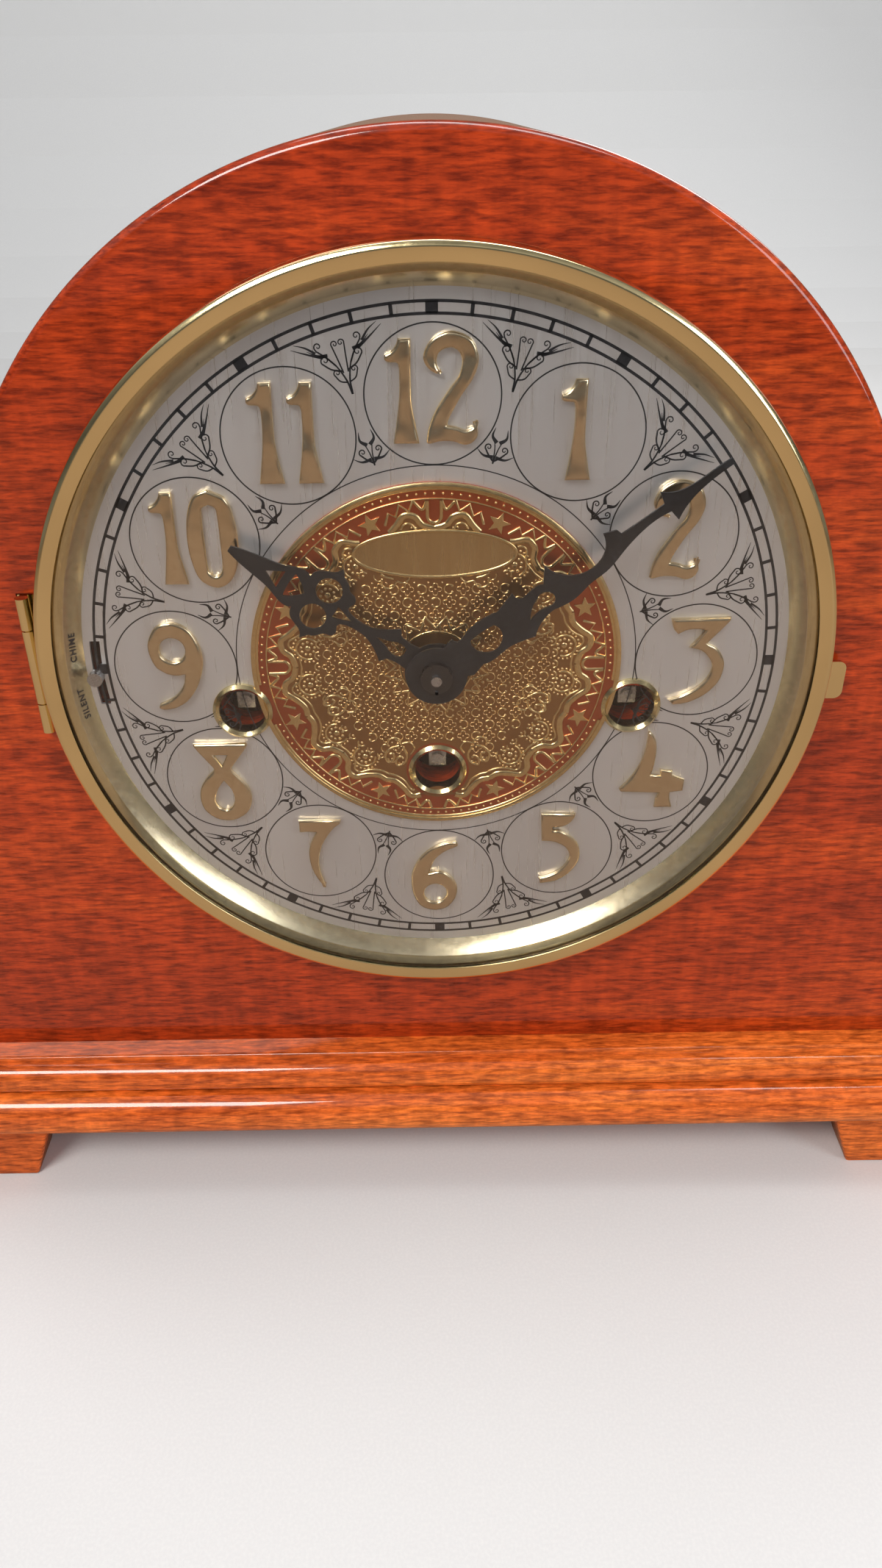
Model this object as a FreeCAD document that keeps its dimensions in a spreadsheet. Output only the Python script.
"""A tambour mantel clock with a quarter-chime movement, in millimetres.

The clock stands on the plane z = 0. X runs to the right seen from the front, Y runs to the
back, and Z runs up. The origin is the middle of the footprint.
"""
import FreeCAD, Part
import Sketcher
import math
import os
from collections import namedtuple

Vec = FreeCAD.Vector
Rotation = FreeCAD.Rotation
Placement = FreeCAD.Placement

# Driving sizes, in millimetres and degrees
SIZES = {
    # case
    "case_width": 456.0,
    "body_depth": 125.0,
    "front_board": 12.0,
    "back_board": 6.0,
    "wrap_wall": 5.0,
    "arch_radius": 107.4,
    "arch_lift": 0.9,
    "arch_spread_angle": 80.0,
    "shoulder_radius": 125.4,
    "edge_round": 2.0,
    "dial_height": 162.0,
    # base boards and their moulding
    "nose_set": 9.0,
    "nose_radius": 7.0,
    "rear_overhang": 6.0,
    "ledge_width": 6.0,
    "ledge_drop": 1.9,
    "ovolo_radius": 4.7,
    "waist_band": 1.0,
    "return_radius": 2.4,
    # bracket feet
    "foot_height": 21.0,
    "foot_inner": 114.0,
    "foot_slant": 7.0,
    "foot_outer_set": 8.0,
    "foot_thick": 14.0,
    "foot_front_set": 9.0,
    "foot_rear_set": 2.0,
    # rear door and its fittings
    "door_half_width": 85.0,
    "door_half_height": 52.0,
    "door_gap": 1.0,
    "door_knob_radius": 4.0,
    "door_knob_length": 4.5,
    "door_knob_inset": 12.0,
    "door_hinge_radius": 1.5,
    "door_hinge_height": 22.0,
    "door_hinge_rise": 34.0,
    "door_leaf_width": 11.0,
    "door_leaf": 0.9,
    "slot_width": 46.0,
    "slot_height": 3.0,
    "slot_pitch": 9.0,
    "screw_head_radius": 2.9,
    "screw_head": 1.4,
    "screw_shank_radius": 1.5,
    "screw_shank": 14.0,
    "screw_arch_angle": 28.0,
    "screw_shoulder_angle": 32.0,
    # dial
    "dial_radius": 83.0,
    "dial_plate": 0.8,
    "dial_seat_gap": 0.3,
    "sight_inner": 80.5,
    "sight_outer": 85.3,
    "sight_top_inner": 83.8,
    "sight_rise": 3.7,
    "sight_wall": 0.6,
    "disc_radius": 42.5,
    "disc_plate": 0.6,
    "disc_rim": 1.1,
    "disc_rim_rise": 0.9,
    "disc_bore": 5.2,
    "numeral_circle": 60.0,
    "numeral_half_height": 10.0,
    "numeral_rise": 1.2,
    "winding_half_span": 45.7,
    "winding_side_drop": 11.2,
    "winding_low_drop": 28.0,
    "grommet_flange": 7.0,
    "grommet_bore": 5.5,
    "grommet_tube": 6.1,
    "grommet_rise": 1.5,
    "grommet_depth": 3.0,
    "board_winding_hole": 6.5,
    "board_centre_hole": 5.0,
    "slot_radius": 78.0,
    "slot_wide": 2.3,
    "slot_rise": 6.9,
    "slot_drop": 9.0,
    "slot_room": 1.4,
    # bezel
    "bezel_radius": 89.6,
    "bezel_wall": 0.9,
    "bezel_foot": 1.0,
    "bezel_shoulder": 6.4,
    "bezel_crest": 7.7,
    "bezel_crest_set": 1.2,
    "bezel_mouth": 85.6,
    "bezel_mouth_rise": 7.3,
    "bezel_lip": 0.3,
    "bezel_seat": 87.3,
    "bezel_seat_foot": 4.5,
    "glass_radius": 87.0,
    "glass_edge_rise": 6.6,
    "glass_apex_rise": 15.6,
    "glass_thick": 1.4,
    "retainer_inner": 83.6,
    "retainer_foot": 4.0,
    "retainer_top": 5.05,
    "retainer_width": 1.0,
    "hinge_set": 91.7,
    "hinge_rise": 1.9,
    "hinge_centre": 1.5,
    "knuckle_radius": 1.5,
    "knuckle_long": 18.0,
    "knuckle_short": 7.4,
    "knuckle_gap": 0.3,
    "hinge_plate": 0.6,
    "hinge_plate_reach": 5.6,
    "tab_reach": 94.2,
    "tab_top": 0.6,
    "tab_bottom": -8.7,
    "tab_rise": 2.4,
    "tab_thick": 1.0,
    "tab_round": 1.8,
    # hands
    "minute_angle": 52.0,
    "minute_length": 77.7,
    "minute_rise": 6.0,
    "hour_length": 53.2,
    "hour_rise": 4.2,
    "hand_thick": 0.6,
    "hub_radius": 6.9,
    "hour_hub_radius": 7.2,
    "nut_radius": 3.6,
    "nut_height": 1.6,
    "nut_tip_rise": 9.4,
    # movement plates
    "movement_gap": 9.0,
    "plate": 1.6,
    "plate_spacing": 36.0,
    "plate_half_width": 68.0,
    "plate_top": 54.0,
    "plate_bottom": 56.0,
    "plate_corner": 8.0,
    "pillar_x": 60.0,
    "pillar_z": 46.0,
    "pillar_radius": 4.0,
    "pillar_neck": 2.0,
    "pillar_tail": 4.0,
    "nut_across": 3.6,
    "pillar_nut_height": 2.4,
    "pivot_radius": 0.8,
    "arbor_radius": 1.5,
    "slim_radius": 1.0,
    "running_gap": 0.06,
    "centre_pivot": 1.2,
    "cannon_radius": 2.0,
    "hour_pipe_radius": 3.0,
    "pipe_seat": 0.4,
    # wheel work
    "wheel_thick": 1.5,
    "pinion_long": 3.2,
    "motion_module": 0.5,
    "hour_module": 0.48,
    "great_module": 0.6,
    "centre_module": 0.4,
    "third_module": 0.38,
    "barrel_radius": 19.5,
    "barrel_wall": 1.2,
    "barrel_front": 5.0,
    "barrel_depth": 22.0,
    "winding_radius": 3.0,
    "winding_square": 4.2,
    "winding_tip_radius": 1.55,
    "winding_tip_set": 4.6,
    "winding_tip": 0.8,
    "ratchet_radius": 7.5,
    "ratchet_thick": 1.3,
    "click_long": 8.0,
    "click_wide": 2.6,
    "fly_radius": 9.0,
    "fly_depth": 18.0,
    "escape_radius": 7.6,
    "anchor_rise": 11.6,
    "anchor_span": 6.6,
    "balance_radius": 12.0,
    "balance_band": 2.2,
    "balance_rise": 35.0,
    "balance_set": 16.0,
    "balance_half_height": 10.0,
    "bracket_thick": 2.0,
    # chime and strike work
    "hammer_pitch": 6.0,
    "hammer_first": 8.0,
    "hammer_pivot_x": 44.0,
    "hammer_pivot_z": 50.0,
    "hammer_reach": 46.0,
    "hammer_head_radius": 2.6,
    "hammer_head": 9.0,
    "hammer_tip": 2.0,
    "hammer_drop": 7.0,
    "hammer_thick": 1.6,
    "hammer_hub": 4.0,
    "rod_gap": 2.0,
    "rod_radius": 1.25,
    "rod_block_near": 128.0,
    "rod_block_far": 150.0,
    "rod_block_cover": 5.5,
    "rod_block_margin": 8.0,
    "drum_radius": 9.0,
    "cam_rise": 1.3,
    "drum_module": 0.6,
    "bracket_margin": 12.0,
    # chime and silent lever
    "lever_pivot_x": 30.0,
    "lever_arm_height": 2.4,
    "lever_stem_radius": 0.7,
    "lever_knob_radius": 1.7,
    "lever_knob": 2.6,
    "lever_set": 6.6,
    "lever_thick": 1.0,
}

# Tooth counts and other counts
CANNON_TEETH = 12
MINUTE_WHEEL_TEETH = 36
MINUTE_PINION_TEETH = 10
HOUR_WHEEL_TEETH = 40
GREAT_TEETH = 70
DRIVEN_TEETH = 10
INTERMEDIATE_TEETH = 42
CENTRE_PINION_TEETH = 12
CENTRE_WHEEL_TEETH = 60
THIRD_PINION_TEETH = 8
THIRD_WHEEL_TEETH = 60
ESCAPE_PINION_TEETH = 8
ESCAPE_TEETH = 15
WARNING_WHEEL_TEETH = 72
FLY_PINION_TEETH = 8
DRUM_TEETH = 30
IDLER_TEETH = 55
HAMMERS = 5
CAM_TEETH = 8
RATCHET_TEETH = 16
DOOR_SLOTS = 4

doc = FreeCAD.newDocument("TambourMantelClock")
sheet = doc.addObject("Spreadsheet::Sheet", "Sizes")
for row, (alias, value) in enumerate(SIZES.items(), start=1):
    sheet.set(f"A{row}", alias)
    sheet.set(f"B{row}", str(value))
    sheet.setAlias(f"B{row}", alias)
doc.recompute()


class Size:
    """A number from the sheet, with the formula that gives it there."""

    def __init__(self, value, formula):
        self.value = value
        self.formula = formula

    def __add__(self, other):
        return Size(self.value + worth(other), f"({self.formula} + {formula(other)})")

    def __radd__(self, other):
        return Size(worth(other) + self.value, f"({formula(other)} + {self.formula})")

    def __sub__(self, other):
        return Size(self.value - worth(other), f"({self.formula} - {formula(other)})")

    def __rsub__(self, other):
        return Size(worth(other) - self.value, f"({formula(other)} - {self.formula})")

    def __mul__(self, other):
        return Size(self.value * worth(other), f"({self.formula} * {formula(other)})")

    def __rmul__(self, other):
        return Size(worth(other) * self.value, f"({formula(other)} * {self.formula})")

    def __truediv__(self, other):
        return Size(self.value / worth(other), f"({self.formula} / {formula(other)})")

    def __neg__(self):
        return Size(-self.value, f"(0 - {self.formula})")


def worth(item):
    return item.value if isinstance(item, Size) else float(item)


def formula(item):
    return item.formula if isinstance(item, Size) else f"({float(item)})"


def root(item):
    return Size(math.sqrt(item.value), f"sqrt({item.formula})")


def sine(angle):
    return Size(math.sin(math.radians(worth(angle))), f"sin({formula(angle)})")


def cosine(angle):
    return Size(math.cos(math.radians(worth(angle))), f"cos({formula(angle)})")


class Sheet:
    """Gives each size of the sheet by its alias."""

    def __getattr__(self, alias):
        return Size(float(sheet.get(alias)), f"Sizes.{alias}")


S = Sheet()
Bend = namedtuple("Bend", "radius x y turn")
Ring = namedtuple("Ring", "x y radius")

# Which way a piece's own Z axis points: its X axis stays on the world's X where it can
AIMS = {
    "up": Rotation(),
    "front": Rotation(Vec(1, 0, 0), 90),
    "back": Rotation(Vec(1, 0, 0), -90),
    "side": Rotation(Vec(1, 1, 1), 120),
}
nodes = []
serial = {}


def fresh(label):
    """A name for an inner object that no other object has."""
    serial[label] = serial.get(label, 0) + 1
    return f"{label}_{serial[label]}"


def bind(item, prop, size):
    """Sets a property to a size and ties it to the sheet."""
    if isinstance(size, Size):
        item.setExpression(prop, size.formula)


def place(item, at, aim, spin=0):
    """Puts an object at a point, each coordinate tied to the sheet."""
    turn = AIMS[aim].multiply(Rotation(Vec(0, 0, 1), spin))
    item.Placement = Placement(Vec(*[worth(c) for c in at]), turn)
    for axis, size in zip("xyz", at):
        bind(item, f"Placement.Base.{axis}", size)


def keep(item, label):
    """Makes an object one of the clock's named pieces."""
    item.Label = label
    nodes.append(item)
    return item


def rod(label, radius, length, at, aim="front"):
    item = doc.addObject("Part::Cylinder", fresh(label))
    item.Radius = worth(radius)
    item.Height = worth(length)
    bind(item, "Radius", radius)
    bind(item, "Height", length)
    place(item, at, aim)
    return item


def block(label, low, high):
    item = doc.addObject("Part::Box", fresh(label))
    for prop, a, b in zip(("Length", "Width", "Height"), low, high):
        setattr(item, prop, worth(b) - worth(a))
        bind(item, prop, b - a)
    place(item, low, "up")
    return item


def draw(sketch, loop):
    """Draws one closed loop of lines and arcs, each corner tied to the sheet."""
    first = sketch.GeometryCount
    if isinstance(loop, Ring):
        centre = Vec(worth(loop.x), worth(loop.y), 0)
        sketch.addGeometry(Part.Circle(centre, Vec(0, 0, 1), worth(loop.radius)), False)
        marks = [("DistanceX", -1, 1, first, 3, loop.x), ("DistanceY", -1, 1, first, 3, loop.y)]
        marks.append(("Radius", first, loop.radius))
    else:
        curves, ends = [], []
        for corner, after in zip(loop, loop[1:] + loop[:1]):
            start = Vec(worth(corner[0]), worth(corner[1]), 0)
            end = Vec(worth(after[0]), worth(after[1]), 0)
            if len(corner) == 2:
                curves.append(Part.LineSegment(start, end))
                ends.append((1, 2))
                continue
            bend = corner[2]
            centre = Vec(worth(bend.x), worth(bend.y), 0)
            angles = [math.atan2(p.y - centre.y, p.x - centre.x) for p in (start, end)]
            if bend.turn < 0:
                angles.reverse()
            circle = Part.Circle(centre, Vec(0, 0, 1), (start - centre).Length)
            curves.append(Part.ArcOfCircle(circle, *angles))
            ends.append((1, 2) if bend.turn > 0 else (2, 1))
        sketch.addGeometry(curves, False)
        marks, joins = [], []
        for i, corner in enumerate(loop):
            here = first + i
            after = (i + 1) % len(loop)
            joins.append(Sketcher.Constraint("Coincident", here, ends[i][1], first + after, ends[after][0]))
            marks.append(("DistanceX", -1, 1, here, ends[i][0], corner[0]))
            marks.append(("DistanceY", -1, 1, here, ends[i][0], corner[1]))
            if len(corner) == 3:
                marks.append(("Radius", here, corner[2].radius))
        sketch.addConstraint(joins)
    for mark in marks:
        number = sketch.addConstraint(Sketcher.Constraint(*mark[:-1], worth(mark[-1])))
        bind(sketch, f"Constraints[{number}]", mark[-1])


def sketched(label, loops, at, aim):
    """A body with one sketch on its own XY plane."""
    body = doc.addObject("PartDesign::Body", fresh(label))
    plane = [f for f in body.Origin.OriginFeatures if f.Role == "XY_Plane"][0]
    sketch = body.newObject("Sketcher::SketchObject", f"{body.Name}_outline")
    sketch.AttachmentSupport = [(plane, "")]
    sketch.MapMode = "FlatFace"
    for loop in loops:
        draw(sketch, loop)
    place(body, at, aim)
    return body, sketch


def prism(label, loops, at, depth, aim="front"):
    """Loops drawn across the aim and padded along it."""
    body, sketch = sketched(label, loops, at, aim)
    pad = body.newObject("PartDesign::Pad", f"{body.Name}_pad")
    pad.Profile = sketch
    pad.Length = worth(depth)
    bind(pad, "Length", depth)
    sketch.Visibility = False
    return body


def turned(label, loops, at, aim="front"):
    """Loops of (radius, height) turned about the aim."""
    body, sketch = sketched(label, loops, at, aim)
    turn = body.newObject("PartDesign::Revolution", f"{body.Name}_turn")
    turn.Profile = sketch
    turn.ReferenceAxis = (sketch, ["V_Axis"])
    turn.Angle = 360.0
    sketch.Visibility = False
    return stood(body)


def stood(body):
    """A turned body has its axis on the sketch's Y, so it is tipped up to the aim."""
    tip = Rotation(Vec(1, 0, 0), 90)
    body.Placement = Placement(body.Placement.Base, body.Placement.Rotation.multiply(tip))
    return body


def tube(label, outer, bore, length, at, aim="front"):
    loop = [(bore, 0), (outer, 0), (outer, length), (bore, length)]
    return turned(label, [loop], at, aim)


def many(kind, label, items, prop):
    if len(items) == 1:
        return items[0]
    item = doc.addObject(kind, fresh(label))
    setattr(item, prop, items)
    return item


def joined(label, items):
    return many("Part::MultiFuse", label, items, "Shapes")


def grouped(label, items):
    return many("Part::Compound", label, items, "Links")


def less(label, base, tools):
    item = doc.addObject("Part::Cut", fresh(label))
    item.Base = base
    item.Tool = grouped(label + "_tools", tools)
    return item


def shared(label, one, other):
    item = doc.addObject("Part::Common", fresh(label))
    item.Base = one
    item.Tool = other
    return item


def shaped(label, shape, at, spin=0):
    """A piece whose shape comes from a formula; it is placed after it is made."""
    item = doc.addObject("Part::Feature", fresh(label))
    item.Shape = shape
    place(item, at, "front", spin)
    return item


# Main planes and heights, worked out from the sheet
base_front = S.nose_set + S.nose_radius
face = base_front - (S.body_depth + base_front + S.rear_overhang) / 2
rear = face + S.body_depth
upper_thick = S.ledge_drop + S.ovolo_radius + S.waist_band + S.return_radius
upper_foot = S.foot_height + 2 * S.nose_radius
base_top = upper_foot + upper_thick
half_case = S.case_width / 2
arch_z = S.dial_height + S.arch_lift
inner_y = face + S.front_board + S.movement_gap + S.plate
face_to_inner = S.front_board + S.movement_gap + S.plate
back_plate_y = inner_y + S.plate_spacing + S.plate


def on_dial(x, rise, z):
    """A point by its place on the dial and its height in front of the wood."""
    return (x, face - rise, S.dial_height + z)


def in_train(x, z, back=0):
    """A point in the movement: back is counted from the front plate's inner face."""
    return (x, inner_y + back, S.dial_height + z)


# Case
def case_run(inset):
    """The case outline from the right foot over the top to the left foot."""
    half = half_case - inset
    arch = S.arch_radius - inset
    hollow = S.shoulder_radius + inset
    centres = S.arch_radius + S.shoulder_radius
    cx = centres * sine(S.arch_spread_angle)
    cz = arch_z + centres * cosine(S.arch_spread_angle)
    meet_x = arch * sine(S.arch_spread_angle)
    meet_z = arch_z + arch * cosine(S.arch_spread_angle)
    run = half - cx
    end_z = cz - root(hollow * hollow - run * run)
    return [
        (half, base_top),
        (half, end_z, Bend(hollow, cx, cz, -1)),
        (meet_x, meet_z, Bend(arch, 0, arch_z, 1)),
        (-meet_x, meet_z, Bend(hollow, -cx, cz, -1)),
        (-half, end_z),
        (-half, base_top),
    ]


def backwards(run):
    """The same run of corners walked the other way."""
    bends = [corner[2] if len(corner) == 3 else None for corner in run[:-1]]
    turned_bends = [b and Bend(b.radius, b.x, b.y, -b.turn) for b in reversed(bends)]
    corners = [corner[:2] for corner in reversed(run)]
    walked = [c + (b,) if b else c for c, b in zip(corners, turned_bends)]
    return walked + [corners[-1]]


def make_front_panel():
    panel = prism("front_board", [case_run(0)], (0, face + S.front_board, 0), S.front_board)
    doc.recompute()
    pad = panel.Tip
    top = worth(S.front_board)
    near = worth(S.edge_round) / 2
    low = worth(base_top) + near
    chosen = []
    for number, edge in enumerate(pad.Shape.Edges, start=1):
        box = edge.BoundBox
        if box.ZMin > top - near and box.YMax > low:
            chosen.append(f"Edge{number}")
    fillet = panel.newObject("PartDesign::Fillet", "front_board_round")
    fillet.Base = (pad, chosen)
    fillet.Radius = worth(S.edge_round)
    bind(fillet, "Radius", S.edge_round)
    deep = S.front_board * 2
    seat = rod("dial_seat", S.dial_radius + S.dial_seat_gap, S.dial_plate * 2,
               on_dial(0, -S.dial_plate, 0))
    holes = [seat, rod("centre_hole", S.board_centre_hole, deep, on_dial(0, -S.front_board * 1.5, 0))]
    for x, z in winding_places():
        holes.append(rod("winding_hole", S.board_winding_hole, deep, on_dial(x, -S.front_board * 1.5, z)))
    half_slot = S.slot_wide / 2 + S.slot_room
    holes.append(block("lever_slot",
                       on_dial(-S.slot_radius - half_slot, S.front_board / 2, -S.slot_drop - S.slot_room),
                       (half_slot - S.slot_radius, face + S.front_board * 1.5,
                        S.dial_height + S.slot_rise + S.slot_room)))
    leaf_low = hinge_low() - S.knuckle_gap
    leaf_high = hinge_high() + S.knuckle_gap
    holes.append(block("hinge_pocket",
                       (-S.hinge_set - S.knuckle_radius - S.knuckle_gap, face - S.hinge_plate, leaf_low),
                       (S.hinge_plate_reach + S.knuckle_gap - S.hinge_set, face + S.hinge_plate, leaf_high)))
    keep(less("front_panel", panel, holes), "front_panel")


def winding_places():
    """The three winding arbors: strike on the left, time below, chime on the right."""
    return [(-S.winding_half_span, -S.winding_side_drop), (0, -S.winding_low_drop),
            (S.winding_half_span, -S.winding_side_drop)]


def make_wrap():
    loop = case_run(0) + backwards(case_run(S.wrap_wall))
    depth = S.body_depth - S.front_board - S.back_board
    return prism("wrap", [loop], (0, rear - S.back_board, 0), depth)


def make_back_panel():
    w, t = S.door_half_width, S.door_half_height
    z = S.dial_height
    opening = [(-w, z - t), (w, z - t), (w, z + t), (-w, z + t)]
    panel = prism("back_board", [case_run(0), opening], (0, rear, 0), S.back_board)
    inner_w, inner_t = w - S.door_gap, t - S.door_gap
    door = prism("door_board", [[(-inner_w, z - inner_t), (inner_w, z - inner_t),
                                 (inner_w, z + inner_t), (-inner_w, z + inner_t)]],
                 (0, rear, 0), S.back_board)
    slots = []
    for i in range(DOOR_SLOTS):
        for side in (-1, 1):
            x = side * S.slot_width / 4 * 3
            middle = z + (i - (DOOR_SLOTS - 1) / 2) * S.slot_pitch
            low = (x - S.slot_width / 2, rear - S.back_board * 2, middle - S.slot_height / 2)
            high = (x + S.slot_width / 2, rear + S.back_board, middle + S.slot_height / 2)
            slots.append(block("door_slot", low, high))
    keep(less("rear_door", door, slots), "rear_door")
    knob_x = S.door_knob_inset - inner_w
    knob_r = S.door_knob_radius
    profile = [(0, 0), (knob_r / 2, 0), (knob_r / 2, S.door_knob_length / 3),
               (knob_r, S.door_knob_length / 2), (knob_r, S.door_knob_length), (0, S.door_knob_length)]
    keep(turned("knob", [profile], (knob_x, rear, z), "back"), "rear_door_knob")
    make_door_hinges()
    return panel


def make_door_hinges():
    """Two butt hinges: each has two case knuckles and a door knuckle on one pin."""
    axis_x = S.door_half_width + S.door_gap
    axis_y = rear + S.door_hinge_radius
    r = S.door_hinge_radius
    third = S.door_hinge_height / 3
    case_side, door_side = [], []
    for side in (-1, 1):
        low = S.dial_height + side * S.door_hinge_rise - S.door_hinge_height / 2
        clear = axis_x + r + S.running_gap * 4
        leaf = block("case_leaf", (clear, rear, low),
                     (axis_x + S.door_leaf_width, rear + S.door_leaf, low + S.door_hinge_height))
        pin = rod("hinge_pin", r / 2, S.door_hinge_height, (axis_x, axis_y, low), "up")
        parts = [leaf, pin]
        for start in (low, low + 2 * third):
            parts.append(rod("case_knuckle", r, third, (axis_x, axis_y, start), "up"))
            parts.append(block("case_web", (axis_x, rear, start),
                               (clear, rear + S.door_leaf, start + third)))
        case_side.append(joined("case_hinge", parts))
        gap = S.running_gap * 2
        knuckle = rod("door_knuckle", r, third - 2 * gap, (axis_x, axis_y, low + third + gap), "up")
        door_leaf = block("door_leaf", (axis_x - S.door_leaf_width, rear, low + third + gap),
                          (axis_x, rear + S.door_leaf, low + 2 * third - gap))
        bore = rod("door_bore", r / 2 + S.running_gap, S.door_hinge_height, (axis_x, axis_y, low), "up")
        door_side.append(less("door_hinge", joined("door_hinge_blank", [knuckle, door_leaf]), [bore]))
    keep(grouped("case_hinges", case_side), "door_hinge_case_leaves")
    keep(grouped("door_hinges", door_side), "door_hinge_door_leaves")


def screw_places():
    """Eight places along the middle of the wrap's wall, behind the back panel."""
    middle = S.wrap_wall / 2
    centres = S.arch_radius + S.shoulder_radius
    arch, hollow = S.arch_radius - middle, S.shoulder_radius + middle
    cx = centres * sine(S.arch_spread_angle)
    cz = arch_z + centres * cosine(S.arch_spread_angle)
    run = half_case - cx
    straight = cz - root(S.shoulder_radius * S.shoulder_radius - run * run) - base_top
    spots = []
    for side in (-1, 1):
        spots.append((side * (half_case - middle), base_top + straight / 3))
        for angle in (S.screw_arch_angle, S.screw_arch_angle * 2):
            spots.append((side * arch * sine(angle), arch_z + arch * cosine(angle)))
        angle = S.screw_shoulder_angle
        spots.append((side * (cx - hollow * sine(angle)), cz - hollow * cosine(angle)))
    return spots


def make_case_screws(panel, wrap):
    """Round-head screws hold the back panel to the edge of the wrap."""
    screws, holes = [], []
    for x, z in screw_places():
        head = rod("screw_head", S.screw_head_radius, S.screw_head, (x, rear, z), "back")
        shank = rod("screw_shank", S.screw_shank_radius, S.screw_shank, (x, rear, z), "front")
        screws.append(joined("case_screw", [head, shank]))
        holes.append(rod("screw_hole", S.screw_shank_radius, S.screw_shank, (x, rear, z), "front"))
    keep(less("back_panel", panel, holes), "back_panel")
    keep(less("case_wrap", wrap, holes), "case_wrap")
    keep(grouped("case_screws", screws), "case_screws")


# Base
def moulded(label, profile, low):
    """A board whose front and ends carry the same moulding, mitred at the corners."""
    def side(origin, sign):
        corners = []
        for corner in profile:
            x = origin + sign * corner[0]
            if len(corner) == 2:
                corners.append((x, corner[1]))
            else:
                b = corner[2]
                corners.append((x, corner[1], Bend(b.radius, origin + sign * b.x, b.y, sign * b.turn)))
        return corners
    back = rear + S.rear_overhang
    top_z = profile[0][1]
    front = side(face, -1)
    across = front + [(back, low), (back, top_z)]
    reach = half_case + base_front
    long_way = prism(label + "_long", [across], (-reach, 0, 0), reach * 2, "side")
    right = side(half_case, 1)
    left = backwards(side(-half_case, -1))
    short_way = prism(label + "_short", [right + left], (0, back, 0), back - face + base_front, "front")
    return shared(label, long_way, short_way)


def make_base():
    z = base_top
    p = S.ledge_width
    z1 = z - S.ledge_drop
    z2 = z1 - S.ovolo_radius
    z3 = z2 - S.waist_band
    p2 = p + S.ovolo_radius
    p3 = p2 - S.return_radius
    upper = [(p, z), (p, z1, Bend(S.ovolo_radius, p, z2, -1)), (p2, z2),
             (p2, z3, Bend(S.return_radius, p3, z3, -1)), (p3, upper_foot)]
    keep(moulded("base_upper", upper, upper_foot), "base_upper_board")
    middle = upper_foot - S.nose_radius
    nose = [(S.nose_set, upper_foot, Bend(S.nose_radius, S.nose_set, middle, -1)),
            (base_front, middle, Bend(S.nose_radius, S.nose_set, middle, -1)), (S.nose_set, S.foot_height)]
    keep(moulded("base_lower", nose, S.foot_height), "base_lower_board")


def make_feet():
    outer = half_case + S.foot_outer_set
    feet = []
    for side in (-1, 1):
        loop = [(side * S.foot_inner, S.foot_height), (side * (S.foot_inner + S.foot_slant), 0),
                (side * outer, 0), (side * outer, S.foot_height)]
        for back in (face - S.foot_front_set + S.foot_thick, rear + S.foot_rear_set):
            feet.append(prism("foot", [loop], (0, back, 0), S.foot_thick))
    keep(grouped("feet", feet), "bracket_feet")


# Dial
def make_sight_ring():
    wall = S.sight_wall
    loop = [(S.sight_inner, 0), (S.sight_inner + wall, 0),
            (S.sight_top_inner + wall / 2, S.sight_rise - wall), (S.sight_outer - wall, S.sight_rise - wall),
            (S.sight_outer - wall, 0), (S.sight_outer, 0), (S.sight_outer, S.sight_rise),
            (S.sight_top_inner, S.sight_rise)]
    keep(turned("sight", [loop], on_dial(0, 0, 0)), "sight_ring")


def make_dial():
    plate = rod("dial_blank", S.dial_radius, S.dial_plate, on_dial(0, -S.dial_plate, 0))
    cuts = [rod("dial_centre_hole", S.board_centre_hole, S.dial_plate * 3,
                on_dial(0, -S.dial_plate * 2, 0))]
    for x, z in winding_places():
        cuts.append(rod("dial_winding_hole", S.grommet_tube + S.running_gap, S.dial_plate * 3,
                        on_dial(x, -S.dial_plate * 2, z)))
    band = tube("slot_band", S.slot_radius + S.slot_wide / 2, S.slot_radius - S.slot_wide / 2,
                S.dial_plate * 3, on_dial(0, -S.dial_plate * 2, 0))
    window = block("slot_window", on_dial(-S.slot_radius * 1.1, S.dial_plate, -S.slot_drop),
                   (-S.slot_radius * 0.9, face + S.dial_plate * 2, S.dial_height + S.slot_rise))
    cuts.append(shared("slot_cut", band, window))
    keep(less("dial", plate, cuts), "dial_plate")
    top = S.disc_plate
    rim = S.disc_rim_rise
    inner = S.disc_radius - S.disc_rim
    loop = [(S.disc_bore, 0), (S.disc_radius, 0), (S.disc_radius, rim), (inner, rim), (inner, top),
            (S.disc_bore, top)]
    disc = turned("disc", [loop], on_dial(0, 0, 0))
    notches = [rod("disc_notch", S.grommet_flange + S.running_gap, S.disc_rim_rise * 3,
                   on_dial(x, -S.disc_rim_rise, z)) for x, z in winding_places()]
    keep(less("centre_disc", disc, notches), "dial_centre_disc")
    r, b, t = S.grommet_flange, S.grommet_bore, S.grommet_tube
    rise = S.grommet_rise
    crest = (r + b) / 2
    half = (r - b) / 2
    grommets = []
    for x, z in winding_places():
        loop = [(b, -S.grommet_depth), (t, -S.grommet_depth), (t, 0), (r, 0), (r, rise - half),
                (crest, rise), (b, rise - half)]
        grommets.append(turned("grommet", [loop], on_dial(x, 0, z)))
    keep(grouped("grommets", grommets), "winding_grommets")


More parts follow.
